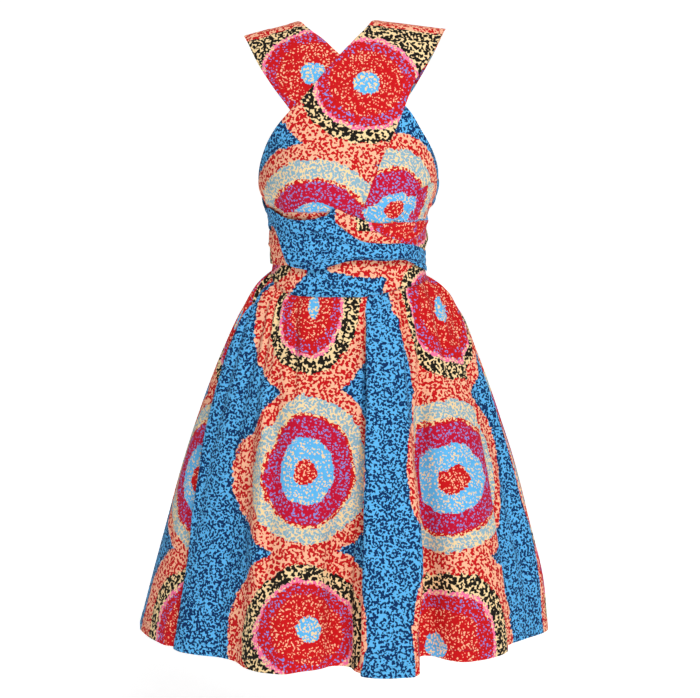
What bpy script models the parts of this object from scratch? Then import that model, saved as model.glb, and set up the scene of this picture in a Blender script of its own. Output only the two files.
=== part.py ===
"""Ankara wax print dress: a full gathered skirt on a shaped waistband, and two wide
straps that cross at the throat, go over the shoulders, cross again on the back and
come round the sides to wrap the waist.  The dress keeps its worn, hollow form.

Metres, +Z up, the front faces -Y, image right is +X.  The origin is the middle of
the shoulder line.  Angles go round the figure in degrees: 0 is +X, -90 the centre
front, 90 the centre back, 180 is -X; going on past 180 comes round to the front.
"""
import bpy
import numpy as np

MM = 0.001
ROUNDNESS = 2.2          # power of the figure's cross-sections; 2 would be an ellipse
SEAM_GAP = 0.3 * MM      # clear space between two pieces that are sewn together
WAIST_GAP = 0.4 * MM     # the same at the curved waist seam
STRAP_WALL = 1.0 * MM
WRAP_WALL = 1.0 * MM
BAND_WALL = 1.2 * MM
SKIRT_WALL = 1.2 * MM
BAND_INSET = 1.0 * MM    # inner face of the waistband from the figure
BAND_TOP = -0.374        # height of the waistband's upper edge
HEM_LEVEL = -1.010
SHARP_DEGREES = 40       # an edge that bends more than this is shaded sharp
ROW_STEP = 17 * MM       # spacing of the rows along a strap
BAND_SPANS = 10          # faces across a strap
HEM_HALF_WIDTH, HEM_HALF_DEPTH = 0.345, 0.262   # mean hem line, before its folds

# General figure inside the cloth, no wearer's features: drop below the shoulder
# line, half width, front depth, back depth (all mm).
FIGURE = np.array([
    (0, 200, 0, 0), (3, 199, 18, 17), (12, 198, 36, 35), (30, 196, 54, 53),
    (60, 190, 71, 69), (100, 171, 84, 83), (140, 151, 94, 92), (200, 145, 113, 96),
    (250, 146, 126, 93), (272, 144, 126, 90), (290, 136, 120, 87), (306, 129, 112, 84),
    (330, 125, 103, 80), (360, 124, 96, 77), (390, 123, 89, 74), (404, 125, 87, 75),
    (420, 129, 88, 78), (450, 134, 91, 82), (480, 138, 95, 85),
]) * MM
CUP_X, CUP_Z, CUP_RISE, CUP_WIDTH, CUP_HEIGHT = 0.080, -0.252, 0.010, 0.045, 0.050
LEFT_SLOPE, LEFT_FLAT = 0.295, 0.082     # fall of the shoulder line beyond a flat part
RIGHT_SLOPE, RIGHT_FLAT = 0.130, 0.045
SLOPE_FADES_AT = 0.100                   # depth at which the slope has faded out

# Each strap is one long band of cloth.  Rows go along it: angle and height (mm) of
# its upper or neck edge, then of its other edge, then the clearance of its inner
# face from the figure (mm) and the height of its soft folds (mm).
OVER_FRONT = [
    (-172, -372.8, -88, -372.8, 2.6, 0.0), (-168, -337, -85, -331, 2.6, 0.0),
    (-166, -296, -81, -293, 2.6, 0.0), (-168, -260, -77, -258, 2.6, 0.0),
    (-159, -220, -71, -224, 2.6, 0.0), (-141, -176, -65, -192, 2.6, 0.0),
    (-125, -145, -59, -161, 2.6, 0.0), (-113, -122, -56, -135, 2.6, 0.0),
    (-102, -91, -55, -105, 2.6, 0.0), (-93, -58, -51, -75, 2.6, 0.0),
    (-87, -30, -46, -45, 2.0, 0.0), (-83, -14, -43, -29, 2.0, 0.0),
    (-81, -4, -41, -19, 2.0, 0.0), (-79, 0, -39, -15, 2.0, 0.0),
]
OVER_BACK = [
    (79, 0, 39, -15, 2.0, 0.0), (80, -4, 40, -19, 2.0, 0.0), (82, -14, 42, -30, 2.0, 0.0),
    (85, -35, 47, -60, 2.4, 0.0), (93, -85, 54, -115, 2.4, 0.0),
    (105, -135, 68, -170, 2.4, 0.0), (120, -180, 85, -225, 2.4, 0.0),
    (138, -222, 102, -275, 2.4, 0.0), (158, -262, 126, -315, 2.4, 0.4),
]
OVER_WRAP = [
    (158, -262, 126, -315, 2.4, 0.4), (170, -281, 146, -334, 4.8, 1.0),
    (181, -294, 164, -340, 7.2, 1.6), (194, -298, 182, -334, 8.4, 2.2),
    (207, -298, 205, -331, 8.4, 2.4), (215, -306, 212, -346, 8.4, 2.4),
    (224, -312, 217, -366, 8.4, 2.4), (234, -315, 222, -387, 8.4, 2.4),
    (248, -313, 236, -396, 8.4, 2.4), (257, -308, 250, -397, 8.4, 2.4),
    (263, -320, 261, -389, 8.4, 2.4), (269, -334, 270, -382, 8.4, 2.4),
    (277, -349, 280, -380, 8.4, 2.4), (293, -354, 293, -382, 8.4, 2.4),
    (310, -355, 312, -382, 8.0, 2.4), (330, -362, 329, -394, 6.6, 2.2),
    (348, -371, 352, -405, 5.8, 1.8), (370, -370, 374, -404, 5.6, 1.6),
    (395, -362, 398, -400, 6.2, 1.4), (425, -356, 426, -397, 7.4, 1.4),
    (460, -352, 460, -395, 8.4, 1.2),
]
UNDER_FRONT = [
    (-1, -372.8, -90, -372.8, 0.3, 0.0), (-2, -338, -93, -337, 0.3, 0.0),
    (-8, -293, -97, -299, 0.3, 0.0), (-6, -251, -102, -267, 0.3, 0.0),
    (-20, -215, -108, -232, 0.3, 0.0), (-37, -181, -115, -196, 0.3, 0.0),
    (-50.5, -148, -121, -165, 0.3, 0.0), (-67.5, -119, -127, -141, 0.3, 0.0),
    (-84, -90, -132, -119, 0.3, 0.0), (-93, -58, -137, -88, 0.3, 0.0),
    (-101, -30, -141, -56, 0.3, 0.0), (-107, -14, -144, -39, 0.3, 0.0),
    (-110, -4, -146.5, -29, 0.3, 0.0), (-112, 0, -148, -25, 0.3, 0.0),
]
UNDER_BACK = [
    (112, 0, 148, -25, 0.3, 0.0), (110, -4, 147, -29, 0.3, 0.0),
    (106, -14, 144, -40, 0.3, 0.0), (98, -35, 138, -64, 0.3, 0.0),
    (87, -85, 126, -117, 0.3, 0.0), (75, -135, 112, -170, 0.3, 0.0),
    (60, -180, 95, -225, 0.3, 0.0), (42, -222, 78, -275, 0.3, 0.0),
    (22, -260, 54, -315, 0.3, 0.4),
]
UNDER_WRAP = [
    (22, -260, 54, -315, 0.3, 0.4), (9, -261, 34, -331, 1.4, 0.8),
    (-4, -259, 14, -346, 2.0, 0.8), (-17, -258, 2, -358, 2.0, 0.8),
    (-30, -262, -6, -365, 2.0, 0.8), (-42, -272, -13, -369, 2.2, 1.0),
    (-45, -289, -22, -372, 2.6, 1.2), (-48, -306, -34, -372, 3.4, 1.4),
    (-58, -319, -50, -375, 4.4, 1.4), (-75, -320, -72, -378, 5.0, 1.4),
    (-89, -312, -90, -380, 5.0, 1.4), (-103, -297, -106, -383, 5.0, 1.4),
    (-120, -307, -122, -388, 5.0, 1.4), (-137, -330, -138, -392, 5.0, 1.4),
    (-160, -338, -160, -393, 5.0, 1.4), (-182, -338, -182, -393, 5.0, 1.4),
    (-205, -342, -205, -396, 5.0, 1.2), (-235, -347, -235, -398, 5.0, 1.0),
    (-275, -350, -275, -398, 5.0, 1.0),
]

# Waist seam between the waistband and the skirt: angle, height (mm).
WAIST_SEAM = [
    (-180, -406), (-168, -412), (-152, -427), (-136, -438), (-114, -442), (-96, -442), (-82, -442),
    (-63, -434), (-34, -425), (-6, -417), (20, -412), (60, -406), (90, -404),
    (130, -403), (160, -404), (180, -406),
]

# Folds of the skirt, one row at each crest, edge and valley going round: angle at the
# waist, angle at the hem, distance of the hem outside (+) its mean line (mm).
FOLDS = [
    (-180, -185.3, 16), (-176.5, -170.4, -2), (-174.5, -165, -9), (-172, -160, -9),
    (-169, -157, -24), (-162, -151.9, -13), (-151, -146.6, -20), (-146, -141.7, -28),
    (-143, -136.4, -34), (-140, -131.9, -27), (-136, -125.5, -3), (-130, -119.5, 10),
    (-118, -110.6, 11), (-108, -106.8, -8), (-98, -101.9, -21), (-84, -96.7, -42),
    (-80, -90.2, -39), (-78, -87.3, -9), (-76, -84, 16), (-71, -77.9, 24),
    (-66, -72, 22), (-61, -66.6, 20), (-59.5, -59, -66), (-58, -55, -84),
    (-55, -51, -76), (-48, -50.6, -48), (-36, -48, -20), (-19, -41.1, -16),
    (-5, -33.6, -19), (-1, -27, -38), (3, -20, -46), (7, -12.5, -34),
    (12, -4.5, -8), (16, 1.5, -8), (20, 7, -32), (24, 15, 12), (28, 21, 26), (33, 29, 14),
    (36, 34, -34), (43, 42, 4), (53, 54, 20), (60, 60, 4), (64, 63, -36), (72, 71, -2),
    (82, 82, 18), (90, 90, 10), (94, 94, -36), (102, 102, 6), (112, 113, 18),
    (120, 120, 4), (124, 123, -38), (132, 131, -2), (142, 143, 18), (149, 150, 6),
    (153, 153, -30), (162, 161, 4), (171, 168, 16),
]
LEFT_SEAM, RIGHT_SEAM = -180, 12   # angle of the side seams at the waist
HEM_SOFTNESS = 8.0 * MM  # how far the bends of the hem line are rounded
STEPS_PER_FOLD_ROW = 24   # points between two rows of the table before softening
HEM_POINTS = 1200         # points of the softened line
COLUMNS = 136            # columns of the whole skirt; even, so that each panel has half
# Share of the way from the waist seam to the hem, going down: of the height, of the
# half width on the -X side and on the +X side, and of the depth.
FALL = np.array([
    (0.00, 0.000, 0.000, 0.000), (0.03, 0.090, 0.140, 0.045), (0.10, 0.210, 0.276, 0.13),
    (0.22, 0.362, 0.418, 0.27), (0.38, 0.527, 0.589, 0.45), (0.54, 0.667, 0.742, 0.60),
    (0.70, 0.785, 0.857, 0.75), (0.85, 0.895, 0.960, 0.88), (1.00, 1.000, 1.000, 1.00),
])


def smooth_curve(xs, ys, x):
    """Cubic curve through the points (xs, ys), with the slope of their neighbours."""
    xs, ys = np.asarray(xs, float), np.asarray(ys, float)
    slope = np.gradient(ys, xs)
    x = np.clip(x, xs[0], xs[-1])
    i = np.clip(np.searchsorted(xs, x) - 1, 0, len(xs) - 2)
    h = xs[i + 1] - xs[i]
    t = (x - xs[i]) / h
    return (ys[i] * (2 * t**3 - 3 * t**2 + 1) + h * slope[i] * (t**3 - 2 * t**2 + t)
            + ys[i + 1] * (3 * t**2 - 2 * t**3) + h * slope[i + 1] * (t**3 - t**2))


def shoulder_line(x):
    """Height of the shoulder line at x; it falls towards each arm."""
    if x < 0:
        return -LEFT_SLOPE * max(0.0, -x - LEFT_FLAT)
    return -RIGHT_SLOPE * max(0.0, x - RIGHT_FLAT)


def figure(angle, z, out=0.0):
    """Point of the figure at an angle (degrees) and a height, moved out by `out`."""
    turn = np.radians(angle)
    c, s = np.cos(turn), np.sin(turn)
    half = smooth_curve(FIGURE[:, 0], FIGURE[:, 1], -z) + out
    x = half * np.sign(c) * abs(c) ** (2 / ROUNDNESS)
    fade = np.clip(1 + z / SLOPE_FADES_AT, 0, 1)
    drop = max(0.0, shoulder_line(x) * fade - z)
    depth = smooth_curve(FIGURE[:, 0], FIGURE[:, 2 if s < 0 else 3], drop) + out
    if s < 0:
        depth += CUP_RISE * np.exp(-((abs(x) - CUP_X) / CUP_WIDTH) ** 2
                                   - ((z - CUP_Z) / CUP_HEIGHT) ** 2)
    return np.array([x, depth * np.sign(s) * abs(s) ** (2 / ROUNDNESS), z])


def unit(v):
    return v / np.maximum(np.linalg.norm(v, axis=-1, keepdims=True), 1e-12)


def grid_normals(grid, closed=False):
    """Normals of a grid of points [row, column], all to the same side of it."""
    along = np.gradient(grid, axis=0)
    if closed:
        across = np.roll(grid, -1, axis=1) - np.roll(grid, 1, axis=1)
    else:
        across = np.gradient(grid, axis=1)
    return unit(np.cross(across, along))


def wall(name, inner, outer, colour, closed=False):
    """One closed solid between two grids of points; `closed` joins its last column."""
    rows, columns = inner.shape[:2]
    points = np.concatenate([inner.reshape(-1, 3), outer.reshape(-1, 3)])
    shift = rows * columns
    faces = []

    def quad(a, b, c, d):
        faces.append((a, b, c))
        faces.append((a, c, d))

    spans = columns if closed else columns - 1
    for r in range(rows - 1):
        for c in range(spans):
            n = (c + 1) % columns
            a, b = r * columns + c, r * columns + n
            d, e = (r + 1) * columns + c, (r + 1) * columns + n
            quad(a, d, e, b)
            # the same diagonal on the outer face, turned the other way round
            faces.append((shift + a, shift + e, shift + d))
            faces.append((shift + a, shift + b, shift + e))
    for c in range(spans):
        n = (c + 1) % columns
        quad(c, n, shift + n, shift + c)
        last = (rows - 1) * columns
        quad(last + n, last + c, shift + last + c, shift + last + n)
    if not closed:
        for r in range(rows - 1):
            a, d = r * columns, (r + 1) * columns
            quad(d, a, shift + a, shift + d)
            a, d = a + columns - 1, d + columns - 1
            quad(a, d, shift + d, shift + a)
    # turned so that the solid's volume is positive, which makes its faces look outward
    p = points[np.array(faces)]
    volume = np.einsum("ij,ij->i", p[:, 0], np.cross(p[:, 1], p[:, 2])).sum() / 6
    if volume < 0:
        faces = [f[::-1] for f in faces]
    mesh = bpy.data.meshes.new(name)
    mesh.from_pydata([tuple(q) for q in points], [], faces)
    mesh.validate()
    mesh.shade_smooth()
    mesh.set_sharp_from_angle(angle=np.radians(SHARP_DEGREES))
    obj = bpy.data.objects.new(name, mesh)
    bpy.context.scene.collection.objects.link(obj)
    material = bpy.data.materials.new(name + "_cloth")
    material.use_nodes = True
    shader = material.node_tree.nodes["Principled BSDF"]
    shader.inputs["Base Color"].default_value = colour
    shader.inputs["Roughness"].default_value = 0.8
    obj.data.materials.append(material)
    return obj


def band_rows(table, step):
    """Rows of a band's table at an even spacing: both edges, clearance, fold height."""
    table = np.array(table, float)
    marks = [0.0]
    for a, b in zip(table[:-1], table[1:]):
        middle_a = figure((a[0] + a[2]) / 2, (a[1] + a[3]) / 2 * MM)
        middle_b = figure((b[0] + b[2]) / 2, (b[1] + b[3]) / 2 * MM)
        marks.append(marks[-1] + max(np.linalg.norm(middle_b - middle_a), 4 * MM))
    count = max(2, int(round(marks[-1] / step)) + 1)
    at = np.linspace(0, marks[-1], count)
    return np.stack([smooth_curve(marks, table[:, k], at) for k in range(6)], axis=1)


def band_points(rows, spans, folds):
    """Points on the figure under a band, and how far its inner face lies off it."""
    v = np.linspace(0, 1, spans + 1)
    points = np.zeros((len(rows), spans + 1, 3))
    off = np.zeros((len(rows), spans + 1))
    for i, (angle_a, z_a, angle_b, z_b, clear, rise) in enumerate(rows):
        for j, q in enumerate(v):
            points[i, j] = figure(angle_a + (angle_b - angle_a) * q,
                                  min(0.0, (z_a + (z_b - z_a) * q) * MM))
            ridge = 0.5 - 0.5 * np.cos(2 * np.pi * folds * q)
            off[i, j] = (clear + rise * ridge) * MM
    return points, off


def strap(name, front, back, wrap, folds, colour):
    """The three stretches of one strap, made as one band and parted at their ends."""
    parts = [band_rows(table, ROW_STEP) for table in (front, back, wrap)]
    spans = BAND_SPANS
    grids = [band_points(rows, spans, folds) for rows in parts]
    points = np.concatenate([grids[0][0], grids[1][0][1:], grids[2][0][1:]])
    off = np.concatenate([grids[0][1], grids[1][1][1:], grids[2][1][1:]])
    normals = grid_normals(points)
    if np.einsum("ijk,ijk->ij", normals, points - np.array([0, 0, CUP_Z])).mean() < 0:
        normals = -normals
    cut_a = len(parts[0]) - 1
    cut_b = cut_a + len(parts[1]) - 1
    along = unit(np.gradient(points, axis=0))
    names = ("_front", "_back", "_wrap")
    for label, first, last in zip(names, (0, cut_a, cut_b), (cut_a, cut_b, len(points) - 1)):
        rows = slice(first, last + 1)
        base = points[rows].copy()
        if first > 0:
            base[0] += along[first] * SEAM_GAP / 2
        if last < len(points) - 1:
            base[-1] -= along[last] * SEAM_GAP / 2
        inner = base + normals[rows] * off[rows][..., None]
        outer = inner + normals[rows] * (WRAP_WALL if label == "_wrap" else STRAP_WALL)
        wall(name + label, inner, outer, colour)


def seam_height(angle):
    """Height of the waist seam; its curve runs on past both ends of the table."""
    table = np.array(WAIST_SEAM, float)
    turns = np.concatenate([[table[-2, 0] - 360], table[:, 0], [table[1, 0] + 360]])
    heights = np.concatenate([[table[-2, 1]], table[:, 1], [table[1, 1]]]) * MM
    return smooth_curve(turns, heights, (angle + 180) % 360 - 180)


def waistband():
    angles = np.arange(-180, 180, 5.0)
    rows = []
    for share in (0.0, 0.5, 1.0):
        row = []
        for angle in angles:
            low = seam_height(angle) + WAIST_GAP / 2
            row.append(figure(angle, low + (BAND_TOP - low) * share))
        rows.append(row)
    points = np.array(rows)
    normals = grid_normals(points, closed=True)
    if np.einsum("ijk,ijk->ij", normals[..., :2], points[..., :2]).mean() < 0:
        normals = -normals
    normals[..., 2] = 0.0            # the band's walls lie level, so its edges stay flat
    normals = unit(normals)
    inner = points + normals * BAND_INSET
    wall("waistband", inner, inner + normals * BAND_WALL, (0.05, 0.28, 0.62, 1), closed=True)


def even_points(line, turns, count):
    """A closed line's points at an even spacing, with their waist angles."""
    loop = np.vstack([line, line[:1]])
    marks = np.concatenate([[0], np.cumsum(np.linalg.norm(np.diff(loop, axis=0), axis=1))])
    turns = np.append(turns, turns[0] + 360)
    at = np.linspace(0, marks[-1], count, endpoint=False)
    points = np.stack([np.interp(at, marks, loop[:, k]) for k in (0, 1)], axis=1)
    return points, np.interp(at, marks, turns), marks[-1]


def soften(line, turns, length):
    """Round the bends of an even closed line; its waist angles move with it."""
    count = len(line)
    spacing = length / count
    reach = int(4 * HEM_SOFTNESS / spacing)
    shifts = np.arange(-reach, reach + 1)
    weights = np.exp(-0.5 * (shifts * spacing / HEM_SOFTNESS) ** 2)
    weights /= weights.sum()
    even_turns = np.arange(count) * 360 / count
    soft = sum(w * np.roll(line, k, axis=0) for k, w in zip(shifts, weights))
    soft_turns = sum(w * np.roll(turns - even_turns, k) for k, w in zip(shifts, weights))
    return soft, soft_turns + even_turns


def hem_line():
    """Waist angle and hem point of each column of the skirt, going round once."""
    table = np.array(FOLDS, float)
    again = np.vstack([table, table[:1] + np.array([360, 360, 0])])
    waist_angles, line = [], []
    for a, b in zip(again[:-1], again[1:]):
        for t in np.linspace(0, 1, STEPS_PER_FOLD_ROW, endpoint=False):
            waist_angle, angle, out = a + (b - a) * t
            turn = np.radians(angle)
            mean = 1 / np.hypot(np.cos(turn) / HEM_HALF_WIDTH, np.sin(turn) / HEM_HALF_DEPTH)
            r = mean + out * MM
            line.append((r * np.cos(turn), r * np.sin(turn)))
            waist_angles.append(waist_angle)
    soft, turns = soften(*even_points(np.array(line), np.array(waist_angles), HEM_POINTS))
    # each panel has half the columns, from side seam to side seam
    start = np.argmin(abs(turns - LEFT_SEAM))
    middle = np.argmin(abs(turns - RIGHT_SEAM))
    front = np.linspace(start, middle, COLUMNS // 2, endpoint=False)
    back = np.linspace(middle, start + HEM_POINTS, COLUMNS // 2, endpoint=False)
    at = np.concatenate([front, back])
    places = np.arange(2 * HEM_POINTS)
    points = np.stack([np.interp(at, places, np.tile(soft[:, k], 2)) for k in (0, 1)], axis=1)
    return np.interp(at, places, np.concatenate([turns, turns + 360])), points


def skirt():
    angles, hem = hem_line()
    grid = np.zeros((len(FALL), COLUMNS, 3))
    for j in range(COLUMNS):
        seam = seam_height(angles[j]) - WAIST_GAP / 2
        top = figure(angles[j], seam, BAND_INSET)
        for i, (down, wide_left, wide_right, deep) in enumerate(FALL):
            x = top[0] + (hem[j, 0] - top[0]) * (wide_right if hem[j, 0] > 0 else wide_left)
            y = top[1] + (hem[j, 1] - top[1]) * deep
            grid[i, j] = (x, y, seam + (HEM_LEVEL - seam) * down)
    normals = grid_normals(grid, closed=True)
    if np.einsum("ijk,ijk->ij", normals[..., :2], grid[..., :2]).mean() < 0:
        normals = -normals
    normals[0, :, 2] = 0.0
    normals[-1, :, 2] = 0.0
    normals = unit(normals)
    outer = grid + normals * SKIRT_WALL
    side = unit(np.roll(grid, -1, axis=1) - np.roll(grid, 1, axis=1))
    half = COLUMNS // 2
    for name, first in (("skirt_front", 0), ("skirt_back", half)):
        pick = [(first + k) % COLUMNS for k in range(half + 1)]
        inside, outside = grid[:, pick].copy(), outer[:, pick].copy()
        for sheet in (inside, outside):
            sheet[:, 0] += side[:, pick[0]] * SEAM_GAP / 2
            sheet[:, -1] -= side[:, pick[-1]] * SEAM_GAP / 2
        wall(name, inside, outside, (0.90, 0.42, 0.22, 1))


def main():
    for obj in list(bpy.data.objects):
        bpy.data.objects.remove(obj, do_unlink=True)
    skirt()
    waistband()
    strap("strap_under", UNDER_FRONT, UNDER_BACK, UNDER_WRAP, 2, (0.85, 0.25, 0.15, 1))
    strap("strap_over", OVER_FRONT, OVER_BACK, OVER_WRAP, 3, (0.10, 0.42, 0.75, 1))


main()
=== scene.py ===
"""Looks of the wax print dress: the cloth of the skirt, the waistband, the two crossed
straps and the wraps round the waist, with their print, folds, hems and stitching.

Metres, +Z up, the front faces -Y.  Angles go round the figure in degrees: 0 is +X,
-90 the centre front, 90 the centre back, 180 is -X, and on past 180 to the front.
"""

import bpy
import numpy as np
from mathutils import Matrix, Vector


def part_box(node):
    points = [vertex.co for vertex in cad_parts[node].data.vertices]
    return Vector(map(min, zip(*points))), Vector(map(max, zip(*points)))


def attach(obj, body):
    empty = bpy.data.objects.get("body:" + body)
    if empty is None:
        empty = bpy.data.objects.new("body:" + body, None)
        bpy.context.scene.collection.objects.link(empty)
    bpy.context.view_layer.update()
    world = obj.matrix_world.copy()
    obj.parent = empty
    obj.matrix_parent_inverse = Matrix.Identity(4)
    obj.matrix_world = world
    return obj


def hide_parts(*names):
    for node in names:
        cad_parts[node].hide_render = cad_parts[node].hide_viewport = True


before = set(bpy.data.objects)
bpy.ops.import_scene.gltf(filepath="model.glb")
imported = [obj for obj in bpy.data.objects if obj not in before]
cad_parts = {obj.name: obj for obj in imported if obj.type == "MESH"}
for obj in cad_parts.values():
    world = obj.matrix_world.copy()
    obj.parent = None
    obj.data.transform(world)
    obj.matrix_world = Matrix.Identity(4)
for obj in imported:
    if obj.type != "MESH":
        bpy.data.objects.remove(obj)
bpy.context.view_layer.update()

MM = 0.001

# ---- sizes
ROUNDNESS = 2.2          # power of the figure's cross-sections; 2 is an ellipse
SEAM_GAP = 0.3 * MM      # clear space between two sewn pieces
WAIST_GAP = 0.4 * MM     # the same at the curved waist seam
STRAP_WALL, BAND_WALL, SKIRT_WALL = 1.0 * MM, 1.2 * MM, 1.2 * MM
BAND_INSET = 1.0 * MM    # inner face of the waistband from the figure
BAND_TOP = -0.374        # height of the waistband's upper edge
HEM_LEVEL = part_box("skirt_front")[0][2]
HEM_HALF_WIDTH, HEM_HALF_DEPTH = 0.345, 0.262   # mean hem line, before its folds
LEFT_SEAM, RIGHT_SEAM = -180, 12   # angle of the side seams at the waist
HEM_SOFTNESS = 8.0 * MM  # how far the bends of the hem line are rounded
FOLD_STEPS, HEM_POINTS = 24, 1200   # points between two folds, and of the softened line

# Figure inside: drop below the shoulder line, half width, front and back depth (mm).
FIGURE = np.array([
    (0, 200, 0, 0), (3, 199, 18, 17), (12, 198, 36, 35), (30, 196, 54, 53),
    (60, 190, 71, 69), (100, 171, 84, 83), (140, 151, 94, 92), (200, 145, 113, 96),
    (250, 146, 126, 93), (272, 144, 126, 90), (290, 136, 120, 87), (306, 129, 112, 84),
    (330, 125, 103, 80), (360, 124, 96, 77), (390, 123, 89, 74), (404, 125, 87, 75),
    (420, 129, 88, 78), (450, 134, 91, 82), (480, 138, 95, 85),
]) * MM
CUP_X, CUP_Z, CUP_RISE, CUP_WIDTH, CUP_HEIGHT = 0.080, -0.252, 0.010, 0.045, 0.050
LEFT_SLOPE, LEFT_FLAT = 0.295, 0.082     # fall of the shoulder line beyond a flat part
RIGHT_SLOPE, RIGHT_FLAT = 0.130, 0.045
SLOPE_FADES_AT = 0.100                   # depth at which the slope has faded out

# Rows along each strap: angle and height of its upper or neck edge, then of its other
# edge, clearance from the figure, height of its soft folds (mm).
OVER_FRONT = [
    (-172, -372.8, -88, -372.8, 2.6, 0), (-168, -337, -85, -331, 2.6, 0),
    (-166, -296, -81, -293, 2.6, 0), (-168, -260, -77, -258, 2.6, 0),
    (-159, -220, -71, -224, 2.6, 0), (-141, -176, -65, -192, 2.6, 0),
    (-125, -145, -59, -161, 2.6, 0), (-113, -122, -56, -135, 2.6, 0),
    (-102, -91, -55, -105, 2.6, 0), (-93, -58, -51, -75, 2.6, 0), (-87, -30, -46, -45, 2, 0),
    (-83, -14, -43, -29, 2, 0), (-81, -4, -41, -19, 2, 0), (-79, 0, -39, -15, 2, 0),
]
OVER_BACK = [
    (79, 0, 39, -15, 2, 0), (80, -4, 40, -19, 2, 0), (82, -14, 42, -30, 2, 0),
    (85, -35, 47, -60, 2.4, 0), (93, -85, 54, -115, 2.4, 0), (105, -135, 68, -170, 2.4, 0),
    (120, -180, 85, -225, 2.4, 0), (138, -222, 102, -275, 2.4, 0),
    (158, -262, 126, -315, 2.4, 0.4),
]
OVER_WRAP = [
    (158, -262, 126, -315, 2.4, 0.4), (170, -281, 146, -334, 4.8, 1),
    (181, -294, 164, -340, 5.4, 0.6), (194, -298, 182, -334, 5.6, 0.6),
    (207, -299, 205, -331, 6.2, 0.8), (215, -306, 212, -346, 7.6, 1.4),
    (224, -312, 217, -366, 8.4, 2.4), (234, -315, 222, -387, 8.4, 2.4),
    (248, -313, 236, -396, 8.4, 2.4), (257, -308, 250, -397, 8.4, 2.4),
    (263, -320, 261, -389, 8.4, 2.4), (269, -334, 270, -382, 8.4, 2.4),
    (277, -349, 280, -380, 8.4, 2.4), (293, -354, 293, -382, 8.4, 2.4),
    (310, -355, 312, -382, 7.4, 2), (330, -362, 329, -394, 5, 1.2),
    (348, -371, 352, -405, 3.6, 0.6), (370, -370, 374, -404, 3.4, 0.6),
    (395, -362, 398, -400, 5, 0.8), (425, -356, 426, -397, 7.4, 1.4),
    (460, -352, 460, -395, 8.4, 1.2),
]
UNDER_FRONT = [
    (-1, -372.8, -90, -372.8, 0.3, 0), (-2, -338, -93, -337, 0.3, 0),
    (-8, -293, -97, -299, 0.3, 0), (-6, -251, -102, -267, 0.3, 0),
    (-20, -215, -108, -232, 0.3, 0), (-37, -181, -115, -196, 0.3, 0),
    (-50.5, -148, -121, -165, 0.3, 0), (-67.5, -119, -127, -141, 0.3, 0),
    (-84, -90, -132, -119, 0.3, 0), (-93, -58, -137, -88, 0.3, 0),
    (-101, -30, -141, -56, 0.3, 0), (-107, -14, -144, -39, 0.3, 0),
    (-110, -4, -146.5, -29, 0.3, 0), (-112, 0, -148, -25, 0.3, 0),
]
UNDER_BACK = [
    (112, 0, 148, -25, 0.3, 0), (110, -4, 147, -29, 0.3, 0), (106, -14, 144, -40, 0.3, 0),
    (98, -35, 138, -64, 0.3, 0), (87, -85, 126, -117, 0.3, 0), (75, -135, 112, -170, 0.3, 0),
    (60, -180, 95, -225, 0.3, 0), (42, -222, 78, -275, 0.3, 0), (22, -260, 54, -315, 0.3, 0.4),
]
UNDER_WRAP = [
    (22, -260, 54, -315, 0.3, 0.4), (9, -261, 34, -331, 1.4, 0.8),
    (-4, -259, 14, -346, 2, 0.8), (-17, -258, 2, -358, 2, 0.8), (-30, -262, -6, -365, 2, 0.8),
    (-42, -272, -13, -369, 2.2, 1), (-45, -289, -22, -372, 2.6, 1.2),
    (-48, -306, -34, -372, 3.4, 1.4), (-58, -319, -50, -375, 4.4, 1.4),
    (-75, -320, -72, -378, 5, 1.4), (-89, -308, -90, -380, 5, 1.4),
    (-99, -298, -100, -382, 5, 1.4), (-107, -319, -108, -384, 5, 1.4),
    (-120, -326, -122, -388, 5, 1.4), (-137, -332, -138, -392, 5, 1.4),
    (-160, -338, -160, -393, 5, 1.4), (-182, -338, -182, -393, 5, 1.4),
    (-205, -342, -205, -396, 5, 1.2), (-235, -347, -235, -398, 5, 1),
    (-275, -350, -275, -398, 5, 1),
]
# Seam between the waistband and the skirt: angle, height (mm).
WAIST_SEAM = [
    (-180, -406), (-168, -412), (-152, -427), (-136, -438), (-114, -442), (-96, -442),
    (-82, -442), (-63, -434), (-34, -425), (-6, -417), (20, -412), (60, -406), (90, -404),
    (130, -403), (160, -404), (180, -406),
]
# Folds of the skirt: angle at the waist and at the hem, hem outside its mean line (mm).
FOLDS = [
    (-180, -185.3, 16), (-176.5, -170.4, -2), (-174.5, -165, -9), (-172, -160, -9),
    (-169, -157, -24), (-162, -151.9, -13), (-151, -146.6, -20), (-146, -141.7, -28),
    (-143, -136.4, -34), (-140, -131.9, -27), (-136, -125.5, -3), (-130, -119.5, 10),
    (-118, -110.6, 11), (-108, -106.8, -8), (-98, -101.9, -21), (-84, -96.7, -42),
    (-80, -90.2, -39), (-78, -87.3, -9), (-76, -84, 16), (-71, -77.9, 24),
    (-66, -72, 22), (-61, -66.6, 20), (-59.5, -59, -66), (-58, -55, -84),
    (-55, -51, -76), (-48, -50.6, -48), (-36, -48, -20), (-19, -41.1, -16),
    (-5, -33.6, -19), (-1, -27, -38), (3, -20, -46), (7, -12.5, -34),
    (12, -4.5, -8), (16, 1.5, -8), (20, 7, -32), (24, 15, 12), (28, 21, 26), (33, 29, 14),
    (36, 34, -34), (43, 42, 4), (53, 54, 20), (60, 60, 4), (64, 63, -36), (72, 71, -2),
    (82, 82, 18), (90, 90, 10), (94, 94, -36), (102, 102, 6), (112, 113, 18),
    (120, 120, 4), (124, 123, -38), (132, 131, -2), (142, 143, 18), (149, 150, 6),
    (153, 153, -30), (162, 161, 4), (171, 168, 16),
]
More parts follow.
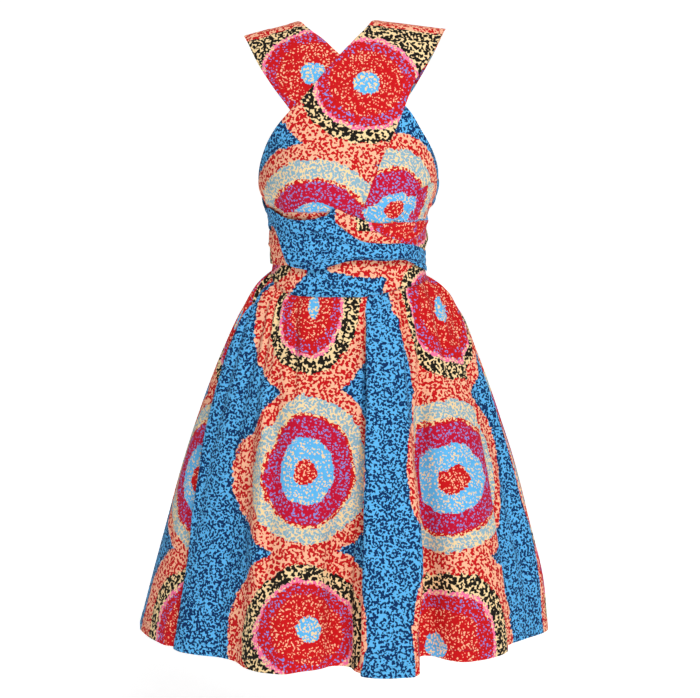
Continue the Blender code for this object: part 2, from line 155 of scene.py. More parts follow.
# Hundredths of the way from the waist seam to the hem, going down: of the height, of
# the half width on the -X side and on the +X side, and of the depth.
FALL = np.array([
    (0, 0, 0, 0), (3, 9, 14, 4.5), (10, 21, 27.6, 13), (22, 36.2, 41.8, 27),
    (38, 52.7, 58.9, 45), (54, 66.7, 74.2, 60), (70, 78.5, 85.7, 75), (85, 89.5, 96, 88),
    (100, 100, 100, 100),
]) / 100

# ---- the print
COLUMN = 0.38      # from one column of roundels to the next
REPEAT = 0.25      # from one roundel to the next down a column
# Place of the print across the skirt front, right of the fold at the left: distance along
# the hem from the left side seam, then the print's place (mm) at each of PRINT_HEIGHTS,
# shares of the way from the waist seam to the hem.
PRINT_HEIGHTS = (0.05, 0.20, 0.33, 0.62, 0.93)
PRINT_ACROSS = np.array([
    (145, -235, -249, -262, -262, -302), (200, -140, -150, -188, -200, -258),
    (245, -118, -124, -130, -145, -188), (280, -106, -110, -124, -130, -140),
    (330, -82, -88, -106, -112, -94), (358, -68, -68, -80, -86, -78),
    (393, -46, -44, -43, -52, -54), (420, -24, -18, -13, -20, -32), (434, 0, 2, 2, -3, -20),
    (448, 25, 20, 14, 11, -8), (460, 46, 34, 25, 22, 3), (486, 85, 67, 52, 53, 28),
    (510, 104, 93, 78, 80, 51), (535, 134, 120, 108, 92, 78), (555, 148, 136, 126, 106, 92),
    (572, 160, 149, 140, 134, 124), (655, 241, 240, 231, 243, 246),
    (672, 245, 245, 250, 266, 276), (768, 268, 252, 262, 278, 352),
    (784, 275, 285, 338, 342, 371), (812, 308, 320, 349, 360, 393),
    (860, 346, 352, 370, 383, 424), (880, 362, 367, 383, 401, 438),
    (905, 395, 390, 400, 424, 456), (950, 401, 398, 420, 450, 490),
    (990, 406, 408, 444, 485, 520), (1010, 411, 413, 464, 520, 550),
    (1050, 420, 428, 490, 560, 585), (1068, 425, 445, 560, 610, 612),
    (1086, 430, 462, 660, 690, 655),
]) * MM
# The deep fold at the left, where the next column of roundels goes under: thousandths of
# the way down, distance along the hem, the print's place just left of it (mm).
LEFT_FOLD = np.array([
    (0, 205, -280), (33, 190, -280), (67, 172, -285), (90, 149, -290), (127, 135, -295),
    (167, 118, -320), (210, 114, -350), (284, 121, -366), (375, 127, -364), (452, 135, -364),
    (528, 147, -364), (660, 155, -376), (790, 170, -398), (900, 176, -402), (1000, 178, -402),
]) * MM
LEFT_SLOPE_OF_PRINT = 0.90
BLUE_FROM, BLUE_UNTIL = -0.236, 0.230    # the print's place and the reach of the blue there
# Place of the print down the skirt: distance from the waist seam, print's place (mm).
PRINT_DOWN = np.array([(-50, -70), (18, 0), (287, 250), (528, 500), (700, 670)]) * MM
# How far the print is let down: distance along the hem, drop (mm).
PRINT_DROP = np.array([
    (0, 80), (150, 78), (190, 36), (240, 25), (300, 20), (360, 10), (420, -2), (560, -3),
    (660, 8), (780, 20), (820, 31), (870, 42), (930, 64), (1000, 67), (1085, 64),
]) * MM
# The same, right of the middle fold only: thousandths of the way down, drop (mm).
RIGHT_DROP = np.array([(50, -16), (200, -10), (500, 0), (750, 2), (950, 22)]) * MM
RIGHT_FROM, RIGHT_FULL = 0.60, 0.68    # along the hem (m)
BACK_ACROSS, BACK_DROP = 0.690, 0.015    # the print's place and drop on the back panel (m)
# Roundels on the straps, the wraps and the waistband: kind, place of the middle (mm), and
# the pull of the cloth to -X, to +X, in depth, upwards and downwards.
OVER_ROUNDELS = [
    ("A", 29, -88, -104, 0.95, 0.95, 0.5, 1.08, 1.07),
    ("B", -52, -110, -346, 0.94, 0.94, 0.94, 0.94, 0.94),
    ("B", 60, 85, -115, 1, 1, 0.8, 1, 1),
    ("A", -80, 85, -330, 1, 1, 1, 1, 1),
]
UNDER_ROUNDELS = [
    ("A", -56, -79, -87, 0.95, 0.95, 0.5, 1.14, 1.1),
    ("B", 75, -104, -299, 1, 1.58, 1.3, 1.3, 1),
    ("B", -75, 80, -105, 1, 1, 0.8, 1, 1),
    ("A", 80, 85, -330, 1, 1, 1, 1, 1),
]
SIDE_ROUNDELS = [("B", 68, -107, -300, 1, 1.12, 1.6, 1, 1)]
WRAP_ROUNDELS = [
    ("A", 98, -120, -318, 1.18, 0.5, 0.6, 1, 1.5),
    ("A", -200, 50, -420, 0.85, 0.85, 0.85, 0.85, 0.85),
]
BAND_ROUNDELS = [
    ("A", 35, -90, -258, 0.8, 0.5, 0.3, 1, 0.915),
    ("A", 147, -85, -455, 1.5, 1.5, 0.5, 1.25, 1.25),
    ("A", -200, 50, -300, 0.664, 0.664, 0.664, 0.664, 0.664),
    ("A", -150, -30, -361, 1.5, 1.5, 0.5, 1.5, 1.5),
]
# The crease across the under strap, where its cloth is turned under, from -X to +X, and
# the gathered rim of the over strap: x and height (mm).  Above the crease the print is
# partly hidden and drawn in.
TURNED_UNDER = np.array([
    (20, -300), (39.4, -294.8), (77.5, -283.9), (110.3, -278.4), (132, -264.9),
    (138.5, -256.7), (170, -245),
]) * MM
HIDDEN, DRAWN_IN = 0.026, 0.74
TURNED_RISE, TURNED_BEND = 1.6 * MM, 1.0 * MM    # rise and bend of the cloth below it
GATHERED_RIM = np.array([
    (-150, -285), (-124, -294), (-114, -298.5), (-105, -302), (-92, -306.5), (-77, -306),
    (-59, -305), (-38, -303), (-30, -303),
]) * MM
RIM_PRINT = 0.125      # the rim shows the outermost ring (m)
# Lower rim of the under wrap in front (mm), which shows the same outermost ring.
WRAP_RIM = np.array([(3, -334), (38, -334), (58, -342), (78, -352)]) * MM
# The blue of the over wrap ends in front in a broken dark line along its lower edge: partly the
# print's dark line of the columns' edge, partly painted shadow where the wrap's edge lies on the
# cloth below.
WRAP_SHADE_LINE, WRAP_SHADE_LINE_X, WRAP_SHADE_LINE_REACH = 3 * MM, 0.015, 0.055
# Above this height and beyond this x the under wrap shows the roundel at its side (m).
SIDE_ABOVE, SIDE_FROM = -0.319, 0.05
# Along the shoulder line the print runs level: a strip of the outermost ring, then the
# black ring down to the roundel, and how far back that goes (m).
CREST_STRIP, CREST_RING, BLACK_RING, CREST_BACK = 11 * MM, 0.120, 0.0935, 0.02
ON_GROUND = 0.19     # distance from a roundel at which only the blue ground shows (m)

# ---- creases of the cloth
# Creases of the skirt: depth, half width of the bend, how far the slope of a step reaches
# (mm; 0 for a trough), then the line as (mm along the hem, hundredths of the way down).
# In a step the cloth further along stands proud, or stands back if negative.
FRONT_CREASES = [
    (7, 2.5, 30, [(190, 3), (149, 9), (118, 16.7), (114, 21), (121, 28.4), (135, 45.2),
                  (147, 52.8), (155, 66), (170, 79), (178, 100)]),
    (7, 12, 0, [(232, 4), (235, 30), (240, 52)]), (6, 18, 0, [(255, 45), (262, 100)]),
    (-8, 3, 38, [(330, 20), (337, 27), (357, 39.5), (364, 55), (365, 69), (362, 80)]),
    (8, 8, 0, [(385, 2), (398, 12), (408, 30)]), (6, 6, 0, [(480, 1), (484, 16)]),
    (10, 20, 0, [(492, 56), (498, 79), (512, 100)]),
    (7, 11, 0, [(532, 2), (549, 28), (548, 46.5), (554, 70)]),
    (6.5, 2.5, 24, [(546, 3), (567, 28), (566, 46.5), (570, 65), (568, 100)]),
    (5, 8, 0, [(640, 1), (632, 16)]), (4.5, 12, 0, [(622, 30), (618, 72)]),
    (-8.5, 2.5, 26, [(812, 3), (810, 11.4), (799, 22.1), (774, 41), (719, 56), (680, 71),
                     (660, 90.6), (656, 100)]),
    (9, 17, 0, [(748, 50), (715, 66), (705, 84), (700, 100)]),
    (7, 10, 0, [(872, 1), (880, 14), (886, 30)]),
    (-7.5, 2.5, 28, [(960, 10), (962, 40), (958, 70), (948, 100)]),
    (6, 12, 0, [(1030, 25), (1034, 60), (1040, 92)]),
]
BACK_CREASES = [
    (-7.5, 3, 30, [(85, 4), (100, 45), (104, 100)]),
    (7, 10, 0, [(150, 1), (158, 20), (163, 42)]), (8, 3, 28, [(265, 3), (258, 50), (252, 100)]),
    (6, 15, 0, [(335, 30), (330, 66), (325, 100)]), (8, 9, 0, [(430, 1), (436, 15), (440, 36)]),
    (-8, 2.5, 32, [(520, 4), (523, 52), (518, 100)]), (5.5, 8, 0, [(600, 1), (604, 22)]),
    (8, 18, 0, [(645, 48), (640, 78), (636, 100)]),
    (7.5, 3, 26, [(735, 3), (748, 40), (752, 100)]),
    (7, 10, 0, [(830, 1), (826, 18), (820, 33)]),
    (-7, 3, 30, [(935, 6), (930, 55), (934, 100)]),
    (6, 14, 0, [(1020, 25), (1024, 70), (1030, 100)]), (6, 9, 0, [(1085, 1), (1080, 24)]),
]
CREASE_ENDS = 0.10     # share of the skirt's height over which a crease runs out
# Creases of the straps: depth, half width (mm), then the line as (hundredths of the width
# from the first edge, mm along the stretch).
STRAP_CREASES = {
    "over_front": [
        (3, 5, [(20, 0), (26, 50), (36, 100)]), (2.6, 4, [(62, 0), (60, 50), (55, 80)]),
        (2.4, 5, [(82, 0), (78, 70)]), (1.2, 7, [(30, 240), (45, 360)]),
    ],
    "over_back": [(1.8, 6, [(30, 160), (42, 340)]), (1.8, 5, [(66, 200), (60, 380)])],
    "over_wrap": [
        (4, 4, [(18, 50), (26, 200), (34, 360), (55, 500)]),
        (3.4, 4, [(72, 100), (60, 240), (66, 400)]),
        (4.2, 4, [(10, 160), (38, 270), (50, 340)]),
        (3.6, 4, [(88, 200), (72, 300), (80, 380)]), (3, 3, [(40, 420), (50, 600), (40, 760)]),
        (2.4, 3, [(74, 460), (68, 580), (76, 700)]),
    ],
    "under_front": [
        (2.4, 5, [(30, 0), (35, 90)]), (2.2, 6, [(68, 40), (62, 140)]),
        (1.2, 7, [(45, 240), (55, 360)]),
    ],
    "under_back": [(1.8, 6, [(36, 140), (46, 320)]), (1.8, 5, [(70, 220), (62, 380)])],
    "under_wrap": [
        (2.6, 4, [(30, 30), (44, 160), (50, 260)]), (4.6, 6, [(88, 20), (90, 60), (94, 90)]),
        (2.4, 4, [(66, 80), (60, 220)]), (2.4, 4, [(36, 300), (44, 480), (36, 660)]),
    ],
}
STRAP_CREASE_ENDS = 0.03    # length over which one runs out (m)
# The over wrap's creases calm down to the sides: half width where that starts and the
# way it takes (m), share of the depth that is left.
CALM_FROM, CALM_OVER, CALM_LEFT = 0.095, 0.030, 0.15
# Ripples: waves of each length, their lean, spread of length, start and height.
WAVES, WAVE_LEAN, WAVE_SPREAD, FULL_TURN, WAVE_HEIGHT = 3, 0.35, (0.8, 1.25), 6.28, 0.8
# Gathers at the waist and wider drape below: depth, lengths of the waves (m), their lean,
# and the way down over which they start and the gathers fade (m).
GATHER_DEPTH, GATHER_WAVES, GATHER_LEAN = 4.2 * MM, (0.040, 0.062), 0.15
GATHER_START, GATHER_REACH = 0.008, 0.085
DRAPE_DEPTH, DRAPE_WAVES, DRAPE_LEAN, DRAPE_START = 1.0 * MM, (0.07, 0.11), 0.3, 0.15
SEAM_CALM = 0.02        # width beside a side seam where the cloth lies calm (m)
LEAST_SCALE = 0.45      # narrowest gathering that a crease still follows
# Small puckers of the straps: depth, lengths of the waves (m), their lean, how far from
# the waistband they fade, and their share on the wraps.
PUCKER_DEPTH, PUCKER_WAVES, PUCKER_LEAN = 0.35 * MM, (0.018, 0.03), 0.25
PUCKER_REACH, PUCKER_ON_WRAPS = 0.05, 0.5
# Mesh: columns and rows of a skirt panel, rows along its hem and where they start, how
# much closer the rows are at the waist; faces across a strap, spacing of its rows and
# least spacing in its table; columns and rows of the waistband, and how near two of its
# points count as one.
SKIRT_COLUMNS, SKIRT_ROWS, HEM_ROWS, HEM_ROWS_FROM, CLOSER_ABOVE = 340, 104, 14, 0.962, 1.15
STRAP_SPANS, STRAP_STEP, TABLE_STEP = 56, 3 * MM, 4 * MM
BAND_COLUMNS, BAND_ROWS, SAME_PLACE = 241, 15, 0.00005
UP_SHARE = 0.3          # weight of height where the outer side of a sheet is told
# Sewing: how wide the turned hem of the skirt and the turned edges of the straps are,
# how far the turned cloth stands out and the slope of its end, and the stitch line's
# distance from the edge.
HEM_TURN, EDGE_TURN, TURN_RISE, TURN_SLOPE = 20 * MM, 7 * MM, 0.5 * MM, 1.5 * MM
HEM_STITCH, EDGE_STITCH, BAND_STITCH = 18 * MM, 5.5 * MM, 3 * MM
# Bake map: room left round each half, and the width of the strips for the cut edges.
MAP_MARGIN, MAP_EDGE = 0.016, 0.008


def smooth_curve(xs, ys, x):
    """Cubic curve through the points (xs, ys), with the slope of their neighbours."""
    xs, ys = np.asarray(xs, float), np.asarray(ys, float)
    slope = np.gradient(ys, xs)
    x = np.clip(x, xs[0], xs[-1])
    i = np.clip(np.searchsorted(xs, x) - 1, 0, len(xs) - 2)
    h = xs[i + 1] - xs[i]
    t = (x - xs[i]) / h
    return (ys[i] * (2 * t**3 - 3 * t**2 + 1) + h * slope[i] * (t**3 - 2 * t**2 + t)
            + ys[i + 1] * (3 * t**2 - 2 * t**3) + h * slope[i + 1] * (t**3 - t**2))


def figure(angle, z, out=0.0):
    """Points of the figure at angles (degrees) and heights, moved out by `out`."""
    turn = np.radians(angle)
    c, s = np.cos(turn), np.sin(turn)
    half = smooth_curve(FIGURE[:, 0], FIGURE[:, 1], -z) + out
    x = half * np.sign(c) * np.abs(c) ** (2 / ROUNDNESS)
    fade = np.clip(1 + z / SLOPE_FADES_AT, 0, 1)
    drop = np.maximum(0.0, shoulder_line(x) * fade - z)
    front = smooth_curve(FIGURE[:, 0], FIGURE[:, 2], drop) + out
    cup = np.exp(-((np.abs(x) - CUP_X) / CUP_WIDTH) ** 2 - ((z - CUP_Z) / CUP_HEIGHT) ** 2)
    back = smooth_curve(FIGURE[:, 0], FIGURE[:, 3], drop) + out
    depth = np.where(s < 0, front + CUP_RISE * cup, back)
    return np.stack([x, depth * np.sign(s) * np.abs(s) ** (2 / ROUNDNESS), z + 0 * x], axis=-1)


def on_line(x, table, column=1):
    """Value at x of a column of a table, straight between its rows."""
    return np.interp(x, table[:, 0], table[:, column])


def marks_along(line):
    """Distance run at each point of a line."""
    steps = np.linalg.norm(np.diff(line, axis=0), axis=1)
    return np.concatenate([[0], np.cumsum(steps)])


def shoulder_line(x):
    """Height of the shoulder line at x, which falls to both sides."""
    return np.where(x < 0, -LEFT_SLOPE * np.maximum(0.0, -x - LEFT_FLAT),
                    -RIGHT_SLOPE * np.maximum(0.0, x - RIGHT_FLAT))


def unit(v):
    return v / np.maximum(np.linalg.norm(v, axis=-1, keepdims=True), 1e-12)


def normals_of(grid):
    """Normals of a grid of points [row, column], pointing away from the figure."""
    n = unit(np.cross(np.gradient(grid, axis=1), np.gradient(grid, axis=0)))
    away = grid - np.array([0, 0, CUP_Z])
    away[..., 2] *= UP_SHARE
    return n if (n * away).sum(axis=-1).mean() > 0 else -n


def rings_from_print(across, down):
    """Distances (m) to the nearest roundel of each kind, from places in the print."""
    def from_nearest(place, repeat):
        return place - repeat * np.round(place / repeat)

    aside = from_nearest(across, COLUMN)
    return tuple(np.hypot(aside, from_nearest(down - k * REPEAT, 2 * REPEAT)) for k in (0, 1))


def rings_near(points, roundels):
    """Distances (m) to the nearest roundel of each kind, from places on the cloth."""
    far = [np.full(points.shape[:2], 1.0) for _ in "AB"]
    for kind, x, y, z, left, right, deep, up, down in roundels:
        k = "AB".index(kind)
        dx, dy, dz = np.moveaxis(points - np.array([x, y, z]) * MM, -1, 0)
        apart = np.sqrt((dx * np.where(dx < 0, left, right)) ** 2 + (dy * deep) ** 2
                        + (dz * np.where(dz < 0, down, up)) ** 2)
        far[k] = np.minimum(far[k], apart)
    return tuple(far)


def level_at_crest(points, rings, height):
    """Rings made level along the shoulder line, above the roundel's middle."""
    x, y, z = np.moveaxis(points, -1, 0)
    above = (z > height) & (y < CREST_BACK)
    first = np.where(above, np.minimum(rings[0], BLACK_RING), rings[0])
    first = np.where(shoulder_line(x) - z < CREST_STRIP, CREST_RING, first)
    return first, np.where(above, np.maximum(rings[1], ON_GROUND), rings[1])


def over_print(points):
    """Rings on the over strap: a roundel of each kind in front, then more behind."""
    x, y, z = np.moveaxis(points, -1, 0)
    low = (z < on_line(x, GATHERED_RIM)) & (y < 0) & (x < GATHERED_RIM[-1, 0])
    front = tuple(np.where(low, RIM_PRINT, part) for part in rings_near(points, OVER_ROUNDELS))
    front = level_at_crest(points, front, OVER_ROUNDELS[0][3] * MM)
    # broken dark line along the over wrap's lower edge in front: the print's edge line, and
    # painted shadow under that edge
    low_edge = np.linalg.norm(points - points[:, -1:], axis=-1) < WRAP_SHADE_LINE
    line_and_shade = low_edge & (abs(x - WRAP_SHADE_LINE_X) < WRAP_SHADE_LINE_REACH) & (y < 0)
    blue = np.where(line_and_shade, ROUNDEL_B[-1][0] + EDGE_LINE, ON_GROUND)
    return {"front": front, "back": front, "wrap": (blue, np.full(blue.shape, ON_GROUND))}


def under_print(points):
    """Rings on the under strap; its front panel's print is drawn in above the crease."""
    x, y, z = np.moveaxis(points, -1, 0)
    above = (z > on_line(x, TURNED_UNDER)) & (y < 0)
    near_a, near_b = rings_near(points, UNDER_ROUNDELS)
    front = (near_a, np.where(above, HIDDEN + DRAWN_IN * near_b, near_b))
    front = level_at_crest(points, front, UNDER_ROUNDELS[0][3] * MM)
    side, low = rings_near(points, SIDE_ROUNDELS), rings_near(points, WRAP_ROUNDELS)
    upper = (z > SIDE_ABOVE) & (x > SIDE_FROM)
    rim = (z < on_line(x, WRAP_RIM)) & (abs(x) < WRAP_RIM[-1, 0]) & (y < 0)
    low = (np.where(rim, RIM_PRINT, low[0]), low[1])
    wrap = tuple(np.where(upper, a, b) for a, b in zip(side, low))
    return {"front": front, "back": front, "wrap": wrap}


def ripples(x, y, seed, waves):
    """Soft unevenness between about -1 and 1: a few crossing waves of cloth."""
    rng = np.random.default_rng(seed)
    total = 0
    for wave in waves:
        for _ in range(WAVES):
            lean = rng.normal(0, WAVE_LEAN)
            length = wave * rng.uniform(*WAVE_SPREAD)
            start = rng.uniform(0, FULL_TURN)
            total = total + np.sin(2 * np.pi * (x + lean * y) / length
                                   + start) / (WAVES * len(waves)) ** 0.5
    return total * WAVE_HEIGHT


def lengths(grid, axis):
    """Distance run along the rows or columns of a grid of points."""
    steps = np.linalg.norm(np.diff(grid, axis=axis), axis=-1)
    pad = [(0, 0), (0, 0)]
    pad[axis] = (1, 0)
    return np.pad(np.cumsum(steps, axis=axis), pad)


# ---- making cloth
def new_grid(name, columns, rows):
    """A square grid of faces, and the places of its vertices in it from 0 to 1."""
    bpy.ops.object.select_all(action="DESELECT")
    bpy.ops.mesh.primitive_grid_add(x_subdivisions=columns, y_subdivisions=rows, size=1)
    piece = bpy.context.object
    piece.name = piece.data.name = name
    flat = np.empty(len(piece.data.vertices) * 3)
    piece.data.vertices.foreach_get("co", flat)
    return piece, flat.reshape(-1, 3)[:, :2] + 0.5


def edit_all(operator, **settings):
    """Run a mesh operator on the whole active piece."""
    bpy.ops.object.mode_set(mode="EDIT")
    bpy.ops.mesh.select_all(action="SELECT")
    operator(**settings)
    bpy.ops.object.mode_set(mode="OBJECT")


def corners_of(mesh):
    """Vertex at each corner of a mesh's faces."""
    corner = np.empty(len(mesh.loops), int)
    mesh.loops.foreach_get("vertex_index", corner)
    return corner


def add_layer(mesh, name, pair):
    """Two numbers for each corner, as a UV layer."""
    mesh.uv_layers.new(name=name)
    mesh.uv_layers[name].data.foreach_set("uv", pair.ravel())


def lay_out(mesh, points, r, c):
    """Bake map of a finished sheet, where no two faces share a place: its outer face in
    the lower half of the square, its inner face in the upper half and its cut edges in
    strips round the outer face.  r and c are the grid row and column of each vertex."""
    rows, columns = points.shape[:2]
    count, faces = rows * columns, (rows - 1) * (columns - 1)
    corner = corners_of(mesh)
    inner, own = corner >= count, corner % count
    cut = np.arange(len(corner)) // 4 >= 2 * faces
    ways = []
    for axis, at in enumerate((r, c)):
        steps = np.linalg.norm(np.diff(points, axis=axis), axis=-1).mean(axis=1 - axis)
        marks = np.concatenate([[0], np.cumsum(steps)])
        ways.append((marks[-1], marks[at] / marks[-1], at))
    pair = np.empty((len(corner), 2))
    for k, (_, share, at) in enumerate(sorted(ways, key=lambda way: -way[0])):
        beside = np.repeat(np.ptp(at[own].reshape(-1, 4), axis=1) == 0, 4)
        out = np.where(share[own] > 0.5, MAP_EDGE, -MAP_EDGE) * (cut & inner & beside)
        pair[:, k] = MAP_MARGIN + (1 / (k + 1) - 2 * MAP_MARGIN) * share[own] + out
    pair[:, 1] += 0.5 * (inner & ~cut)
    add_layer(mesh, "OFBake", pair)


def cloth(name, points, across, down, rings, sewing, wall):
    """A sheet of cloth through a grid of points, with its print and its true sizes.

    points is the outer face; across and down are the places in the cloth (m), rings the
    distances (m) to the nearest roundel of each kind, and sewing the distances along the
    stitch lines and away from them."""
    rows, columns = points.shape[:2]
    piece, flat = new_grid(name, columns - 1, rows - 1)
    mesh = piece.data
    c, r = np.rint(flat * (columns - 1, rows - 1)).astype(int).T
    mesh.vertices.foreach_set("co", points[r, c].ravel())
    while mesh.uv_layers:
        mesh.uv_layers.remove(mesh.uv_layers[0])
    corner = corners_of(mesh)
    for layer, places in (("Rings", rings), ("Cloth", (across, down)), ("Sewing", sewing)):
        pair = np.stack([np.broadcast_to(v, (rows, columns))[r, c] for v in places], axis=1)
        add_layer(mesh, layer, pair[corner])
    mesh.update()
    outward = (*points[rows // 2, columns // 2, :2], 0)
    sample = mesh.polygons[(rows // 2) * (columns - 1) + columns // 2]
    if sample.normal.dot(outward) < 0:
        edit_all(bpy.ops.mesh.flip_normals)
    thick = piece.modifiers.new("wall", "SOLIDIFY")
    thick.thickness = wall
    thick.offset = -1.0
    bpy.ops.object.modifier_apply(modifier=thick.name)
    bpy.ops.object.shade_smooth()
    lay_out(piece.data, points, r, c)
    piece.data.materials.append(COTTON)
    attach(piece, "root")
    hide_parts(name.replace("cloth_", ""))
    return piece


def even_points(line, turns, count):
    """A closed line's points at an even spacing, with their waist angles."""
    loop = np.vstack([line, line[:1]])
    marks = marks_along(loop)
    turns = np.append(turns, turns[0] + 360)
    at = np.linspace(0, marks[-1], count, endpoint=False)
    points = np.stack([np.interp(at, marks, loop[:, k]) for k in (0, 1)], axis=1)
    return points, np.interp(at, marks, turns), marks[-1]


def soften(line, turns, length):
    """Round the bends of an even closed line; its waist angles move with it."""
    count = len(line)
    spacing = length / count
    reach = int(4 * HEM_SOFTNESS / spacing)
    shifts = np.arange(-reach, reach + 1)
    weights = np.exp(-0.5 * (shifts * spacing / HEM_SOFTNESS) ** 2)
    weights /= weights.sum()
    even_turns = np.arange(count) * 360 / count
    soft = sum(w * np.roll(line, k, axis=0) for k, w in zip(shifts, weights))
    soft_turns = sum(w * np.roll(turns - even_turns, k) for k, w in zip(shifts, weights))
    return soft, soft_turns + even_turns


def hem_line():
    """Waist angles and points of the softened hem, from the left side seam round."""
    again = np.vstack([FOLDS, np.add(FOLDS[0], (360, 360, 0))])
    t = np.linspace(0, 1, FOLD_STEPS, endpoint=False)[:, None]     # from one fold to the next
    rows = np.concatenate([a + (b - a) * t for a, b in zip(again[:-1], again[1:])])
    turn = np.radians(rows[:, 1])
    c, s = np.cos(turn), np.sin(turn)
    reach = 1 / np.hypot(c / HEM_HALF_WIDTH, s / HEM_HALF_DEPTH) + rows[:, 2] * MM
    line = np.stack([reach * c, reach * s], axis=1)
    soft, turns = soften(*even_points(line, rows[:, 0], HEM_POINTS))
    start = np.argmin(abs(turns - LEFT_SEAM))
    points = np.roll(soft, -start, axis=0)
    turns = np.concatenate([turns[start:], turns[:start] + 360])
    return np.append(turns, turns[0] + 360), np.vstack([points, points[:1]])


def seam_height(angle):
    """Height of the waist seam; its curve runs on past both ends of the table."""
    table = np.array(WAIST_SEAM, float)
    table = np.vstack([table[-2] - (360, 0), table, table[1] + (360, 0)])
    return smooth_curve(table[:, 0], table[:, 1] * MM, (angle + 180) % 360 - 180)


def front_print(s, height):
    """Print's place across the skirt front, and how far it is let down."""
    s, across = s[None, :], 0
    for k, only in enumerate(np.eye(len(PRINT_HEIGHTS))):
        across = across + on_line(s, PRINT_ACROSS, k + 1) * np.interp(height, PRINT_HEIGHTS, only)
    across = np.where((s < BLUE_UNTIL) & (across < BLUE_FROM), BLUE_FROM, across)
    fold, there = (on_line(height, LEFT_FOLD, k) for k in (1, 2))
    across = np.where(s < fold, there + LEFT_SLOPE_OF_PRINT * (s - fold), across)
    right = np.clip((s - RIGHT_FROM) / (RIGHT_FULL - RIGHT_FROM), 0, 1)
    return across, on_line(s, PRINT_DROP) + on_line(height, RIGHT_DROP) * right


def creased(creases, s, share, scale):
    """Height of the skirt's creases; scale is the cloth's width for each metre of hem."""
    total = 0
    for depth, bend, reach, line in creases:
        line = np.array(line) * (MM, 0.01)
        middle = np.interp(share, line[:, 1], line[:, 0])[:, None]
        first, last = line[0, 1], line[-1, 1]
        fade = np.clip((share - first) / CREASE_ENDS, 0, 1)
        if last < 1:
            fade = fade * np.clip((last - share) / CREASE_ENDS, 0, 1)
        fade = (fade * fade * (3 - 2 * fade))[:, None]
        apart = (s[None, :] - middle) * np.maximum(scale, LEAST_SCALE)
        if reach:
            shape = np.tanh(apart / (bend * MM)) * np.exp(-(apart / (reach * MM)) ** 2)
        else:
            shape = -np.exp(-(apart / (bend * MM)) ** 2)
        total = total + depth * MM * shape * fade
    return total


def turned(apart, width):
    """Rise of an edge's turned-under cloth, from the distance to that edge."""
    return TURN_RISE * (1 - np.clip((apart - width) / TURN_SLOPE, 0, 1))


def skirt():
    """Front and back panel of the skirt, from side seam to side seam."""
    turns, hem = hem_line()
    run = marks_along(hem)
    middle = np.argmin(abs(turns - RIGHT_SEAM))
    panels = (("cloth_skirt_front", 0.0, run[middle], 1, FRONT_CREASES),
              ("cloth_skirt_back", run[middle], run[-1], 2, BACK_CREASES))
    share = np.concatenate([np.linspace(0, 1, SKIRT_ROWS)[:-1] ** CLOSER_ABOVE * HEM_ROWS_FROM,
                            np.linspace(HEM_ROWS_FROM, 1, HEM_ROWS)])
    fall = np.stack([smooth_curve(FALL[:, 0], FALL[:, k], share) for k in range(4)], axis=1)
    for name, first, last, seed, creases in panels:
        s = np.linspace(first + SEAM_GAP / 2, last - SEAM_GAP / 2, SKIRT_COLUMNS)
        angle = np.interp(s, run, turns)
        hx, hy = (np.interp(s, run, hem[:, k]) for k in (0, 1))
        seam = seam_height(angle) - WAIST_GAP / 2
        top = figure(angle, seam, BAND_INSET + SKIRT_WALL)
        wide = np.where(hx[None, :] > 0, fall[:, 2:3], fall[:, 1:2])
        grid = np.stack([top[:, 0] + (hx - top[:, 0]) * wide,
                         top[:, 1] + (hy - top[:, 1]) * fall[:, 3:4],
                         seam + (HEM_LEVEL - seam) * fall[:, 0:1]], axis=-1)
        down = lengths(grid, 0)
        side = (s - first)[None, :] + 0 * down
        seamed = np.minimum(1, np.minimum(side, last - first - side) / SEAM_CALM)
        gathers = GATHER_DEPTH * ripples(side, down * GATHER_LEAN, seed, GATHER_WAVES)
        gathers *= np.exp(-down / GATHER_REACH) * (1 - np.exp(-down / GATHER_START))
        drape = DRAPE_DEPTH * ripples(side, down * DRAPE_LEAN, seed + 10, DRAPE_WAVES)
        drape *= np.minimum(1, down / DRAPE_START)
        scale = np.gradient(lengths(grid, 1), axis=1) / np.gradient(s)
        folds = creased(creases, s - first, share, scale)
        above_hem = down.max(axis=0)[None, :] - down
        rise = (gathers + drape + folds) * seamed + turned(above_hem, HEM_TURN)
        grid = grid + normals_of(grid) * rise[..., None]
        if creases is FRONT_CREASES:
            across, lift = front_print(s, share[:, None])
        else:
            across, lift = BACK_ACROSS + side, BACK_DROP
        print_rings = rings_from_print(across, on_line(down - lift, PRINT_DOWN))
        piece = cloth(name, grid, side, above_hem, print_rings,
                      (side, above_hem - HEM_STITCH), SKIRT_WALL)


def band_rows(table, step):
    """Rows of a band's table at an even spacing: both edges, clearance, fold height."""
    table = np.array(table, float)
    middle = figure((table[:, 0] + table[:, 2]) / 2, (table[:, 1] + table[:, 3]) / 2 * MM)
    steps = np.maximum(np.linalg.norm(np.diff(middle, axis=0), axis=1), TABLE_STEP)
    marks = np.concatenate([[0], np.cumsum(steps)])
    at = np.linspace(0, marks[-1], int(round(marks[-1] / step)) + 1)
    return np.stack([smooth_curve(marks, table[:, k], at) for k in range(6)], axis=1)


def band_points(rows, spans, folds):
    """Points on the figure under a band, and how far its inner face lies off it."""
    q = np.linspace(0, 1, spans + 1)[None, :]
    angle_a, z_a, angle_b, z_b, clear, rise = (rows[:, k:k + 1] for k in range(6))
    points = figure(angle_a + (angle_b - angle_a) * q,
                    np.minimum(0.0, (z_a + (z_b - z_a) * q) * MM))
    ridge = 0.5 - 0.5 * np.cos(2 * np.pi * folds * q)
    return points, (clear + rise * ridge) * MM


